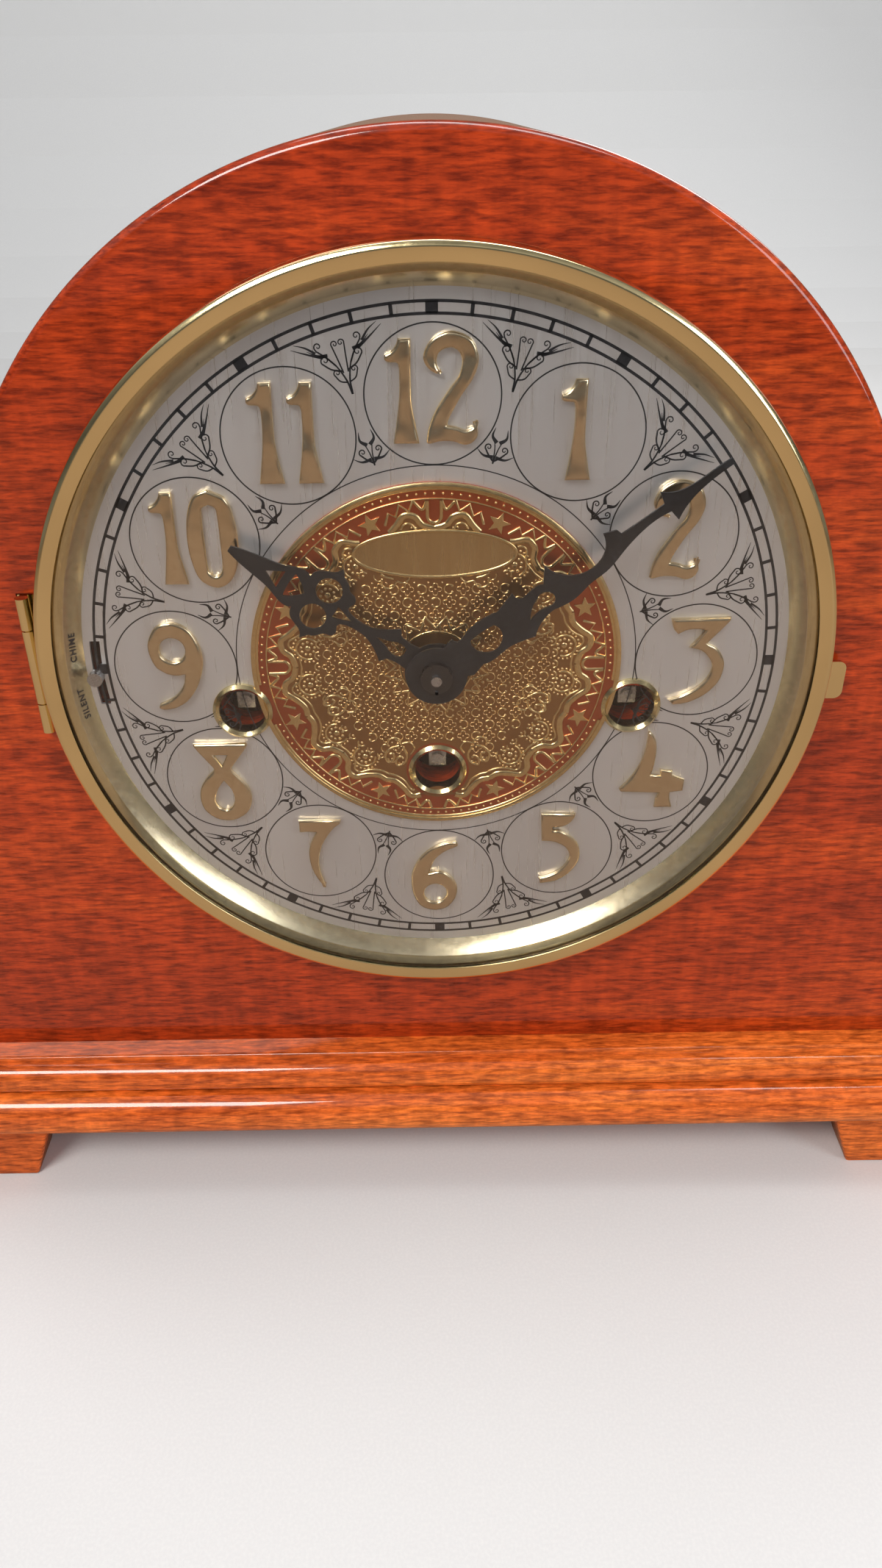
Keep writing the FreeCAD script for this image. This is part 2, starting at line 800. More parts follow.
# Numeral outlines: smooth runs that meet at corners, as shares of the numeral's half height
ONE_SHARES = [
    [(-0.13, 1.12), (0.13, 1.12)], [(0.13, 1.12), (0.12, 0.2), (0.14, -0.23), (0.27, -0.94)],
    [(0.27, -0.94), (-0.27, -0.94)], [(-0.27, -0.94), (-0.16, -0.25), (-0.12, 0.2), (-0.12, 0.55)],
    [(-0.12, 0.55), (-0.16, 0.65), (-0.34, 0.67), (-0.41, 0.72)], [(-0.41, 0.72), (-0.40, 0.82)],
    [(-0.40, 0.82), (-0.27, 0.88), (-0.17, 1.0), (-0.13, 1.12)],
]
TWO_SHARES = [
    [(0.54, -0.46), (0.49, -0.60), (0.33, -0.66), (0.14, -0.60), (-0.04, -0.57)],
    [(-0.04, -0.57), (0.02, -0.40), (0.25, 0.0), (0.50, 0.36), (0.60, 0.73), (0.45, 1.10), (0.04, 1.25),
     (-0.34, 1.10), (-0.51, 0.80), (-0.45, 0.58), (-0.26, 0.44), (-0.12, 0.46)],
    [(-0.12, 0.46), (-0.21, 0.56), (-0.24, 0.70), (-0.18, 0.85), (0.02, 0.93), (0.19, 0.86), (0.26, 0.67),
     (0.19, 0.40), (0.0, 0.15), (-0.27, -0.25), (-0.42, -0.60), (-0.48, -0.92)],
    [(-0.48, -0.92), (-0.40, -0.95), (-0.18, -0.90), (0.09, -0.91), (0.32, -0.98), (0.50, -0.92),
     (0.60, -0.75), (0.54, -0.46)],
]
THREE_SHARES = [
    [(-0.69, 1.10), (0.67, 1.12)], [(0.67, 1.12), (0.62, 0.98), (0.20, 0.49)],
    [(0.20, 0.49), (0.43, 0.36), (0.60, 0.10), (0.64, -0.15), (0.55, -0.50), (0.28, -0.82), (-0.11, -1.03),
     (-0.46, -1.08)],
    [(-0.46, -1.08), (-0.60, -0.93)],
    [(-0.60, -0.93), (-0.22, -0.81), (0.09, -0.61), (0.28, -0.38), (0.36, -0.13), (0.29, 0.08), (0.08, 0.29),
     (-0.22, 0.38)],
    [(-0.22, 0.38), (0.12, 0.80)], [(0.12, 0.80), (-0.05, 0.83), (-0.30, 0.81), (-0.50, 0.71)],
    [(-0.50, 0.71), (-0.62, 0.86), (-0.69, 1.10)],
]
FOUR_SHARES = [
    [(-0.15, 1.20), (-0.08, 1.18), (0.05, 0.95), (0.09, 0.60), (0.05, 0.20), (0.0, 0.01)],
    [(0.0, 0.01), (0.24, -0.02)], [(0.24, -0.02), (0.21, 0.16)], [(0.21, 0.16), (0.53, 0.12)],
    [(0.53, 0.12), (0.53, 0.0)], [(0.53, 0.0), (0.84, -0.13)], [(0.84, -0.13), (0.83, -0.46)],
    [(0.83, -0.46), (0.52, -0.50)], [(0.52, -0.50), (0.53, -0.68), (0.60, -0.93)],
    [(0.60, -0.93), (0.15, -0.93)], [(0.15, -0.93), (0.17, -0.70), (0.23, -0.51)],
    [(0.23, -0.51), (-0.70, -0.47)], [(-0.70, -0.47), (-0.75, -0.39)],
    [(-0.75, -0.39), (-0.46, -0.02), (-0.27, 0.38), (-0.19, 0.72), (-0.15, 1.20)],
]
FIVE_SHARES = [
    [(-0.44, 1.12), (0.43, 1.12)], [(0.43, 1.12), (0.40, 0.98), (0.27, 0.81), (0.08, 0.72), (-0.13, 0.71)],
    [(-0.13, 0.71), (-0.13, 0.62)],
    [(-0.13, 0.62), (0.05, 0.61), (0.28, 0.48), (0.50, 0.23), (0.585, -0.04), (0.56, -0.35), (0.35, -0.69),
     (0.01, -0.94), (-0.40, -1.02)],
    [(-0.40, -1.02), (-0.44, -0.83)],
    [(-0.44, -0.83), (-0.18, -0.76), (0.12, -0.57), (0.29, -0.31), (0.315, -0.11), (0.18, 0.12), (-0.11, 0.27),
     (-0.40, 0.30)],
    [(-0.40, 0.30), (-0.44, 1.12)],
]
SIX_SHARES = [
    [(0.44, 1.13), (0.49, 1.02), (0.46, 0.96)],
    [(0.46, 0.96), (0.27, 0.88), (0.08, 0.76), (-0.10, 0.57), (-0.19, 0.35), (-0.25, 0.16)],
    [(-0.25, 0.16), (0.0, 0.22), (0.19, 0.15), (0.38, -0.06), (0.47, -0.35), (0.42, -0.65), (0.23, -0.92),
     (0.0, -1.02), (-0.23, -1.02), (-0.50, -0.88), (-0.67, -0.54), (-0.72, -0.11), (-0.68, 0.23), (-0.50, 0.61),
     (-0.19, 0.92), (0.15, 1.09), (0.44, 1.13)],
]
SEVEN_SHARES = [
    [(-0.49, 1.02), (0.57, 1.02)], [(0.57, 1.02), (0.54, 0.90)],
    [(0.54, 0.90), (0.35, 0.73), (0.14, 0.42), (0.01, 0.11), (-0.05, -0.23), (-0.03, -0.58), (0.08, -1.02)],
    [(0.08, -1.02), (0.05, -1.08)],
    [(0.05, -1.08), (-0.13, -0.77), (-0.26, -0.42), (-0.30, -0.04), (-0.24, 0.31), (-0.07, 0.65)],
    [(-0.07, 0.65), (-0.30, 0.67), (-0.49, 0.66)], [(-0.49, 0.66), (-0.49, 1.02)],
]
EIGHT_SHARES = [
    [(-0.64, 1.05), (0.63, 1.05)], [(0.63, 1.05), (0.61, 0.92), (0.21, 0.37)],
    [(0.21, 0.37), (0.23, 0.28), (0.42, 0.04), (0.58, -0.23), (0.615, -0.54), (0.50, -0.88), (0.23, -1.09),
     (-0.02, -1.145), (-0.31, -1.08), (-0.56, -0.85), (-0.65, -0.54), (-0.60, -0.19), (-0.42, 0.11),
     (-0.25, 0.29), (-0.24, 0.37)],
    [(-0.24, 0.37), (-0.62, 0.92), (-0.64, 1.05)],
]
EIGHT_WINDOW_SHARES = [
    [(-0.18, 0.72), (0.13, 0.72)], [(0.13, 0.72), (-0.02, 0.42)], [(-0.02, 0.42), (-0.18, 0.72)],
]
EIGHT_DROP_SHARES = [
    [(-0.02, 0.0), (0.15, -0.27), (0.185, -0.54), (0.115, -0.73), (-0.04, -0.82), (-0.21, -0.73),
     (-0.28, -0.54), (-0.19, -0.25), (-0.02, 0.0)],
]
NINE_SHARES = [
    [(-0.22, -0.11), (0.0, -0.16), (0.20, -0.13)],
    [(0.20, -0.13), (0.14, -0.38), (-0.02, -0.61), (-0.22, -0.76), (-0.47, -0.87)],
    [(-0.47, -0.87), (-0.50, -0.98), (-0.40, -1.04)],
    [(-0.40, -1.04), (-0.11, -0.99), (0.20, -0.80), (0.46, -0.44), (0.61, -0.05), (0.66, 0.23), (0.62, 0.58),
     (0.47, 0.92), (0.25, 1.11), (0.01, 1.17), (-0.30, 1.08), (-0.51, 0.77), (-0.56, 0.46), (-0.45, 0.08),
     (-0.22, -0.11)],
]
ZERO_SHARES = [
    [(0.0, 1.17), (-0.31, 1.02), (-0.48, 0.61), (-0.54, 0.08), (-0.50, -0.42), (-0.35, -0.85), (0.0, -1.03),
     (0.31, -0.88), (0.50, -0.50), (0.56, -0.04), (0.53, 0.50), (0.39, 0.96), (0.0, 1.17)],
]
ZERO_WINDOW_SHARES = [
    [(0.0, 0.83), (-0.13, 0.76), (-0.16, 0.60), (-0.165, 0.0), (-0.16, -0.50), (-0.12, -0.67), (0.0, -0.74),
     (0.12, -0.67), (0.16, -0.50), (0.165, 0.0), (0.16, 0.60), (0.13, 0.76), (0.0, 0.83)],
]


def oval_shares(x, z, half_width, half_height):
    """A closed smooth run round an oval, as shares."""
    steps = 8
    ring = []
    for i in range(steps + 1):
        angle = 2 * math.pi * i / steps
        ring.append((x + half_width * math.cos(angle), z + half_height * math.sin(angle)))
    return [ring]


DIGITS = {
    "0": (ZERO_SHARES, [ZERO_WINDOW_SHARES]),
    "1": (ONE_SHARES, []),
    "2": (TWO_SHARES, []),
    "3": (THREE_SHARES, []),
    "4": (FOUR_SHARES, []),
    "5": (FIVE_SHARES, []),
    "6": (SIX_SHARES, [oval_shares(-0.10, -0.48, 0.23, 0.34)]),
    "7": (SEVEN_SHARES, []),
    "8": (EIGHT_SHARES, [EIGHT_WINDOW_SHARES, EIGHT_DROP_SHARES]),
    "9": (NINE_SHARES, [oval_shares(-0.01, 0.49, 0.235, 0.33)]),
}
# Each hour's digits, with the share by which each stands off the middle
HOUR_SHARES = [
    [("1", -0.555), ("2", 0.33)], [("1", 0.02)], [("2", 0.0)], [("3", 0.0)], [("4", 0.0)], [("5", 0.0)],
    [("6", 0.0)], [("7", 0.0)], [("8", 0.0)], [("9", 0.0)], [("1", -0.49), ("0", 0.39)],
    [("1", -0.395), ("1", 0.43)],
]


def smooth_face(runs, unit, shift=0.0, facets=0):
    """A flat face inside runs of smooth curve; a run of two points is a straight line."""
    edges = []
    for run in runs:
        points = [Vec((x + shift) * unit, z * unit, 0) for x, z in run]
        if len(points) == 2:
            edges.append(Part.LineSegment(*points).toShape())
            continue
        curve = Part.BSplineCurve()
        if len(runs) == 1:
            curve.interpolate(points[:-1], PeriodicFlag=True)
        else:
            curve.interpolate(points)
        if facets:
            steps = curve.discretize(Number=facets * (len(points) - 1) + 1)
            edges += Part.makePolygon(steps).Edges
        else:
            edges.append(curve.toShape())
    return Part.Face(Part.Wire(Part.__sortEdges__(edges)))


def upright(face_shape, depth):
    """A solid of a face's outline, whichever way the face is turned."""
    return face_shape.extrude(Vec(0, 0, depth))


def make_numerals():
    unit = worth(S.numeral_half_height)
    solids = []
    for hour, digits in enumerate(HOUR_SHARES):
        angle = math.radians(360 / len(HOUR_SHARES) * hour)
        spot = Vec(math.sin(angle), math.cos(angle), 0) * worth(S.numeral_circle)
        for digit, shift in digits:
            outline, windows = DIGITS[digit]
            solid = upright(smooth_face(outline, unit, shift), worth(S.numeral_rise))
            for window in windows:
                solid = solid.cut(upright(smooth_face(window, unit, shift), worth(S.numeral_rise)))
            solid.translate(spot)
            solids.append(solid)
    keep(shaped("numerals", Part.Compound(solids), on_dial(0, 0, 0)), "hour_numerals")


# Bezel
def hinge_low():
    return S.dial_height + S.hinge_centre - S.knuckle_long / 2 - S.knuckle_short - S.knuckle_gap


def hinge_high():
    return S.dial_height + S.hinge_centre + S.knuckle_long / 2 + S.knuckle_short + S.knuckle_gap


def make_bezel():
    r = S.bezel_radius
    wall = S.bezel_wall
    crest_r = r - S.bezel_crest_set
    rolled = (r - wall * 0.4, (S.bezel_shoulder + S.bezel_crest * 2) / 3)
    loop = [(r, S.bezel_foot), (r, S.bezel_shoulder), rolled, (crest_r, S.bezel_crest),
            (S.bezel_mouth, S.bezel_mouth_rise), (S.bezel_mouth, S.bezel_mouth_rise - S.bezel_lip),
            (S.bezel_seat, S.glass_edge_rise + wall / 6),
            (S.bezel_seat, S.bezel_seat_foot), (r - wall, S.bezel_seat_foot), (r - wall, S.bezel_foot)]
    keep(turned("bezel", [loop], on_dial(0, 0, 0)), "bezel_ring")
    make_glass()
    inner, foot = S.retainer_inner, S.retainer_foot
    top = S.retainer_top
    seat = S.glass_radius
    loop = [(inner, foot), (inner + S.retainer_width, foot),
            (seat - S.retainer_width, top - S.retainer_width / 2), (seat, top - S.retainer_width / 2),
            (seat, top), (inner + S.retainer_width * 1.6, top)]
    keep(turned("retainer", [loop], on_dial(0, 0, 0)), "glass_retaining_ring")
    x, y = -S.hinge_set, face - S.hinge_rise
    middle = S.dial_height + S.hinge_centre
    low = middle - S.knuckle_long / 2
    knuckle = rod("moving_knuckle", S.knuckle_radius, S.knuckle_long, (x, y, low), "up")
    plate_back = face - S.bezel_foot + S.hinge_plate + S.running_gap
    arm = block("moving_leaf", (x, plate_back - S.hinge_plate, low),
                (x + S.hinge_plate_reach, plate_back, low + S.knuckle_long))
    bore = rod("moving_bore", S.knuckle_radius / 2 + S.running_gap, S.knuckle_long * 2,
               (x, y, middle - S.knuckle_long), "up")
    keep(less("moving_hinge", joined("moving_hinge_blank", [knuckle, arm]), [bore]), "bezel_hinge_knuckle")
    pin = rod("hinge_pin_long", S.knuckle_radius / 2, hinge_high() - hinge_low(), (x, y, hinge_low()), "up")
    fixed = [pin]
    for start in (hinge_low(), hinge_high() - S.knuckle_short):
        fixed.append(rod("fixed_knuckle", S.knuckle_radius, S.knuckle_short, (x, y, start), "up"))
        fixed.append(block("fixed_web", (x - S.knuckle_radius * 0.6, y, start),
                           (x + S.knuckle_radius * 0.6, face + S.hinge_plate / 2, start + S.knuckle_short)))
    fixed.append(block("fixed_leaf", (x - S.knuckle_radius, face, hinge_low()),
                       (x + S.hinge_plate_reach, face + S.hinge_plate, hinge_high())))
    keep(joined("fixed_hinge", fixed), "bezel_hinge_leaf")
    make_tab()


def make_glass():
    """A thin dome: two concentric spheres' arcs between the rim and the axis."""
    edge, apex, thick = S.glass_edge_rise, S.glass_apex_rise, S.glass_thick
    rise = apex - edge
    sphere = (S.glass_radius * S.glass_radius + rise * rise) / (2 * rise)
    centre = apex - sphere
    inner = sphere - thick
    inner_edge = centre + root(inner * inner - S.glass_radius * S.glass_radius)
    loop = [(0, centre + inner), (0, apex, Bend(sphere, 0, centre, -1)), (S.glass_radius, edge),
            (S.glass_radius, inner_edge, Bend(inner, 0, centre, 1))]
    keep(turned("glass", [loop], on_dial(0, 0, 0)), "bezel_glass")


def make_tab():
    """A thumb tab at the right, its outer corners rounded, cut to the bezel's round."""
    low, high = S.dial_height + S.tab_bottom, S.dial_height + S.tab_top
    start, reach, corner = S.bezel_radius - S.bezel_wall * 2, S.tab_reach, S.tab_round
    loop = [(start, low), (reach - corner, low, Bend(corner, reach - corner, low + corner, 1)),
            (reach, low + corner), (reach, high - corner, Bend(corner, reach - corner, high - corner, 1)),
            (reach - corner, high), (start, high)]
    tab = prism("tab_blank", [loop], (0, face - S.tab_rise, 0), S.tab_thick)
    keep(less("tab", tab, [rod("tab_round_cut", S.bezel_radius, S.tab_rise * 3, on_dial(0, 0, 0))]),
         "bezel_opening_tab")


# Hands: half outlines from the hub to the tip, widths and heights as shares of the hand's length
HOUR_RUNS_SHARES = [
    [(0.056, 0.10), (0.056, 0.13)], [(0.056, 0.13), (0.053, 0.175), (0.060, 0.215)],
    [(0.060, 0.215), (0.088, 0.235)],
    [(0.088, 0.235), (0.050, 0.285), (0.024, 0.345), (0.020, 0.40), (0.028, 0.448)],
    [(0.028, 0.448), (0.052, 0.466), (0.078, 0.456), (0.100, 0.468), (0.106, 0.492), (0.132, 0.518),
     (0.146, 0.545)],
    [(0.146, 0.545), (0.180, 0.572)],
    [(0.180, 0.572), (0.146, 0.595), (0.128, 0.634), (0.078, 0.668)],
    [(0.078, 0.668), (0.087, 0.690), (0.084, 0.722), (0.062, 0.780), (0.042, 0.872), (0.012, 1.0)],
]
HOUR_WINDOWS_SHARES = [
    [[(-0.042, 0.762), (0.042, 0.762)], [(0.042, 0.762), (0.0, 0.834)], [(0.0, 0.834), (-0.042, 0.762)]],
    [[(-0.056, 0.722), (0.0, 0.728), (0.056, 0.722)], [(0.056, 0.722), (0.028, 0.678), (0.0, 0.650)],
     [(0.0, 0.650), (-0.028, 0.678), (-0.056, 0.722)]],
    [[(-0.028, 0.505), (0.028, 0.505)], [(0.028, 0.505), (0.012, 0.455), (0.0, 0.424)],
     [(0.0, 0.424), (-0.012, 0.455), (-0.028, 0.505)]],
    [[(0.0, 0.305), (-0.017, 0.24)], [(-0.017, 0.24), (-0.031, 0.195), (-0.022, 0.170), (0.0, 0.163)],
     [(0.0, 0.163), (0.022, 0.170), (0.031, 0.195), (0.017, 0.24)], [(0.017, 0.24), (0.0, 0.305)]],
]
HOUR_EYE_SHARES = (0.066, 0.572, 0.056)
HAND_FACETS = 4
MINUTE_SHARES = [
    [(-0.050, 0.06), (-0.062, 0.09)], [(-0.062, 0.09), (-0.064, 0.106)],
    [(-0.064, 0.106), (-0.050, 0.110), (-0.055, 0.156), (-0.058, 0.210), (-0.049, 0.260)],
    [(-0.049, 0.260), (-0.067, 0.324)], [(-0.067, 0.324), (-0.039, 0.334), (-0.041, 0.378), (-0.034, 0.408)],
    [(-0.034, 0.408), (-0.076, 0.443)],
    [(-0.076, 0.443), (-0.036, 0.457), (0.001, 0.497), (0.013, 0.542), (0.001, 0.586), (-0.050, 0.620)],
    [(-0.050, 0.620), (-0.036, 0.655)], [(-0.036, 0.655), (-0.019, 0.660)],
    [(-0.019, 0.660), (-0.017, 0.705), (-0.015, 0.795)], [(-0.015, 0.795), (-0.049, 0.804)],
    [(-0.049, 0.804), (-0.020, 0.848), (-0.011, 0.904), (-0.008, 1.0)], [(-0.008, 1.0), (0.008, 1.0)],
    [(0.008, 1.0), (0.011, 0.904), (0.020, 0.858), (0.045, 0.802)], [(0.045, 0.802), (0.013, 0.799)],
    [(0.013, 0.799), (0.014, 0.685), (0.026, 0.636), (0.044, 0.566), (0.045, 0.517), (0.055, 0.452),
     (0.052, 0.420), (0.045, 0.389)],
    [(0.045, 0.389), (0.050, 0.349), (0.078, 0.300)], [(0.078, 0.300), (0.064, 0.255), (0.058, 0.220),
                                                       (0.061, 0.170), (0.054, 0.131)],
    [(0.054, 0.131), (0.064, 0.09)], [(0.064, 0.09), (0.050, 0.06)], [(0.050, 0.06), (-0.050, 0.06)],
]
MINUTE_WINDOWS_SHARES = [
    [[(-0.027, 0.145), (-0.029, 0.188), (-0.024, 0.229)],
     [(-0.024, 0.229), (0.020, 0.226), (0.041, 0.188), (0.020, 0.148), (-0.027, 0.145)]],
    [[(-0.012, 0.372), (-0.014, 0.398), (0.008, 0.414), (0.030, 0.400), (0.026, 0.372), (0.024, 0.345),
      (0.031, 0.316)], [(0.031, 0.316), (0.008, 0.336), (-0.012, 0.372)]],
]


def hand_solid(thick, hub, bore, outline, windows):
    """A flat hand along its own Y: a pierced blade joined to a round hub."""
    blade = Part.makeFace([outline.OuterWire] + windows, "Part::FaceMakerBullseye")
    ring = Part.makeFace([Part.Wire(Part.makeCircle(hub)), Part.Wire(Part.makeCircle(bore))],
                         "Part::FaceMakerBullseye")
    beyond = blade.cut(Part.Face(Part.Wire(Part.makeCircle(hub))))
    solids = [upright(piece, thick) for piece in (beyond, ring)]
    return solids[0].fuse(solids[1])


def make_hands():
    length, thick = worth(S.hour_length), worth(S.hand_thick)
    right = HOUR_RUNS_SHARES
    left = [[(-x, z) for x, z in reversed(run)] for run in reversed(right)]
    tip = [[right[-1][-1], left[0][0]]]
    foot = [[left[-1][-1], right[0][0]]]
    outline = smooth_face(right + tip + left + foot, length, facets=HAND_FACETS)
    windows = [smooth_face(window, length, facets=HAND_FACETS).OuterWire for window in HOUR_WINDOWS_SHARES]
    eye_x, eye_z, eye_r = [share * length for share in HOUR_EYE_SHARES]
    for side in (-1, 1):
        windows.append(Part.Wire(Part.makeCircle(eye_r, Vec(side * eye_x, eye_z, 0))))
    bore = worth(S.hour_pipe_radius - S.pipe_seat)
    hour = hand_solid(thick, worth(S.hour_hub_radius), bore, outline, windows)
    full_turn = 360
    hour_angle = 10 * full_turn / 12 + worth(S.minute_angle) / 12
    keep(shaped("hour", hour, on_dial(0, S.hour_rise, 0), -hour_angle), "hour_hand")
    length = worth(S.minute_length)
    outline = smooth_face(MINUTE_SHARES, length, facets=HAND_FACETS)
    windows = [smooth_face(window, length, facets=HAND_FACETS).OuterWire
               for window in MINUTE_WINDOWS_SHARES]
    bore = worth(S.cannon_radius - S.pipe_seat)
    minute = hand_solid(thick, worth(S.hub_radius), bore, outline, windows)
    keep(shaped("minute", minute, on_dial(0, S.minute_rise, 0), -worth(S.minute_angle)), "minute_hand")
    seat = S.minute_rise + S.hand_thick
    nut = tube("nut", S.nut_radius, S.centre_pivot, S.nut_height, on_dial(0, seat, 0))
    keep(nut, "hand_nut")


# Wheel work
def toothed(teeth, module, thick, tooth_share, bore=None, addendum=0.9, dedendum=1.25):
    """A toothed disc: each tooth is a short taper, its middle tooth on the X axis."""
    pitch = teeth * module / 2
    tip, foot = pitch + addendum * module, pitch - dedendum * module
    whole = 2 * math.pi / teeth
    wide, narrow = tooth_share * 1.25, tooth_share * 0.55
    points = []
    for i in range(teeth):
        middle = i * whole
        for radius, share in ((foot, -wide), (tip, -narrow), (tip, narrow), (foot, wide)):
            angle = middle + share * whole / 2
            points.append(Vec(radius * math.cos(angle), radius * math.sin(angle), 0))
    wires = [Part.makePolygon(points + points[:1])]
    if bore:
        wires.append(Part.Wire(Part.makeCircle(worth(bore))))
    return Part.makeFace(wires, "Part::FaceMakerBullseye").extrude(Vec(0, 0, worth(thick)))


def wheel(label, x, z, back, teeth, module, thick, aim_x, aim_z, bore=None, share=None, on_tooth=True):
    """A toothed disc in the train; a tooth or a gap faces the point that is given."""
    shape = toothed(teeth, worth(module), thick, share or WHEEL_SHARE, bore)
    towards = math.degrees(math.atan2(worth(aim_z) - worth(z), worth(aim_x) - worth(x)))
    step = 0 if on_tooth else 360 / teeth / 2
    return shaped(label, shape, in_train(x, z, back), towards + step)


def staff(label, x, z, steps):
    """A stepped arbor: steps are (front, back, radius) counted from the inner face."""
    loop = [(0, -steps[0][0])]
    for front, back, radius in steps:
        loop += [(radius, -front), (radius, -back)]
    loop.append((0, -steps[-1][1]))
    return turned(label, [loop], in_train(x, z, 0))


def sleeve(label, x, z, steps, bore):
    """A stepped pipe on an arbor's place."""
    loop = [(bore, -steps[0][0])]
    for front, back, radius in steps:
        loop += [(radius, -front), (radius, -back)]
    loop.append((bore, -steps[-1][1]))
    return turned(label, [loop], in_train(x, z, 0))


def train_places():
    """Where the arbors stand, each from the one before it and its mesh distance."""
    def reach(teeth_a, teeth_b, module):
        return (teeth_a + teeth_b) / 2 * module

    def step(start, distance, degrees):
        return (start[0] + distance * sine(degrees), start[1] + distance * cosine(degrees))
    places = {}
    low = (Size(0.0, "(0)"), -S.winding_low_drop)
    driven = reach(GREAT_TEETH, DRIVEN_TEETH, S.great_module)
    inner = reach(INTERMEDIATE_TEETH, CENTRE_PINION_TEETH, S.motion_module)
    drop = S.winding_low_drop
    along = (drop * drop + driven * driven - inner * inner) / (2 * drop)
    across = root(driven * driven - along * along)
    places["intermediate"] = (low[0] + across, low[1] + along)
    places["centre"] = (Size(0.0, "(0)"), Size(0.0, "(0)"))
    third = reach(CENTRE_WHEEL_TEETH, THIRD_PINION_TEETH, S.centre_module)
    places["third"] = step(places["centre"], third, 30)
    escape = reach(THIRD_WHEEL_TEETH, ESCAPE_PINION_TEETH, S.third_module)
    places["escape"] = step(places["third"], escape, -45)
    places["anchor"] = (places["escape"][0], places["escape"][1] + S.anchor_rise)
    motion = reach(CANNON_TEETH, MINUTE_WHEEL_TEETH, S.motion_module)
    places["minute_wheel"] = step(places["centre"], motion, 45)
    fly = reach(WARNING_WHEEL_TEETH, FLY_PINION_TEETH, S.third_module)
    for name, side in (("strike", -1), ("chime", 1)):
        barrel = (side * S.winding_half_span, -S.winding_side_drop)
        places[name + "_second"] = step(barrel, driven, side * 10)
        places[name + "_fly"] = step(places[name + "_second"], fly, -side * 60)
    second = places["chime_second"]
    idler = reach(DRUM_TEETH, IDLER_TEETH, S.drum_module)
    places["idler"] = step(second, idler, 207)
    places["drum"] = step(places["idler"], idler, 207)
    return places


P = train_places()
PINION_SHARE = 0.33
WHEEL_SHARE = 0.36
CANNON_SHARE = 1.6
GREAT_BACK = S.barrel_front + S.barrel_depth + S.wheel_thick * 1.4
LAYER_BACK = S.plate_spacing - 3.5 * S.wheel_thick / 1.5


def make_plates():
    w, top, low, c = S.plate_half_width, S.plate_top, -S.plate_bottom, S.plate_corner
    loop = [(c - w, low), (w - c, low), (w, low + c), (w, top - c), (w - c, top), (c - w, top),
            (-w, top - c), (-w, low + c)]
    front = prism("front_plate", [loop], in_train(0, 0, 0), S.plate)
    back = prism("back_plate", [loop], in_train(0, 0, S.plate_spacing + S.plate), S.plate)
    small = S.pivot_radius + S.running_gap
    front_holes, back_holes = [], []

    def pierce(x, z, front_radius, back_radius):
        if front_radius:
            front_holes.append(rod("front_pivot", front_radius, S.plate * 3, in_train(x, z, S.plate)))
        if back_radius:
            back_holes.append(rod("back_pivot", back_radius, S.plate * 3,
                                  in_train(x, z, S.plate_spacing + S.plate * 2)))
    pierce(0, 0, S.centre_pivot + S.running_gap, small)
    for name in ("intermediate", "third", "escape", "anchor", "strike_second", "strike_fly", "chime_fly"):
        pierce(*P[name], small, small)
    pierce(*P["chime_second"], small, S.arbor_radius + S.running_gap)
    pierce(*P["drum"], None, small)
    for x, z in winding_places():
        pierce(x, z, S.winding_radius + S.running_gap, S.arbor_radius + S.running_gap)
    for x, z in pillar_places():
        pierce(x, z, S.pillar_neck, S.pillar_neck)
    stud_x, stud_z = P["minute_wheel"]
    gap = S.running_gap
    stud = rod("motion_stud", S.centre_pivot, S.movement_gap - S.running_gap * 8,
               in_train(stud_x, stud_z, -S.plate))
    lever_stud = rod("lever_stud", S.arbor_radius, S.lever_set + S.lever_thick + gap * 4,
                     in_train(-S.lever_pivot_x, lever_z(), -S.plate))
    blank = joined("front_plate_blank", [front, stud, lever_stud])
    keep(less("movement_front", blank, front_holes), "movement_front_plate")
    idler_stud = rod("idler_stud", S.arbor_radius, S.wheel_thick * 3,
                     in_train(*P["idler"], S.plate_spacing + S.plate), "back")
    back_blank = joined("back_plate_blank", [back, idler_stud])
    keep(less("movement_back", back_blank, back_holes), "movement_back_plate")
    pillars = []
    for x, z in pillar_places():
        pillars.append(staff("pillar", x, z, [
            (-S.plate - S.movement_gap, -S.plate, S.pillar_radius), (-S.plate, 0, S.pillar_neck),
            (0, S.plate_spacing, S.pillar_radius),
            (S.plate_spacing, S.plate_spacing + S.plate + S.pillar_tail, S.pillar_neck)]))
        corners = [math.radians(60 * i) for i in range(6)]
        hexagon = [(S.nut_across * math.cos(a), S.nut_across * math.sin(a)) for a in corners]
        nut = prism("pillar_nut", [hexagon, Ring(0, 0, S.pillar_neck)],
                    in_train(x, z, S.plate_spacing + S.plate + S.pillar_nut_height), S.pillar_nut_height)
        pillars.append(nut)
    keep(grouped("pillars", pillars), "plate_pillars")


def pillar_places():
    return [(x * S.pillar_x, z * S.pillar_z) for x in (-1, 1) for z in (-1, 1)]


def lever_z():
    """The lever rests half way along its slot."""
    return (S.slot_rise - S.slot_drop) / 2


def pinion(label, x, z, back, teeth, module, length, aim_x, aim_z, bore=None, on_tooth=False):
    """A small toothed disc with thin leaves, a gap towards the wheel that drives it."""
    return wheel(label, x, z, back, teeth, module, length, aim_x, aim_z, bore, PINION_SHARE, on_tooth)


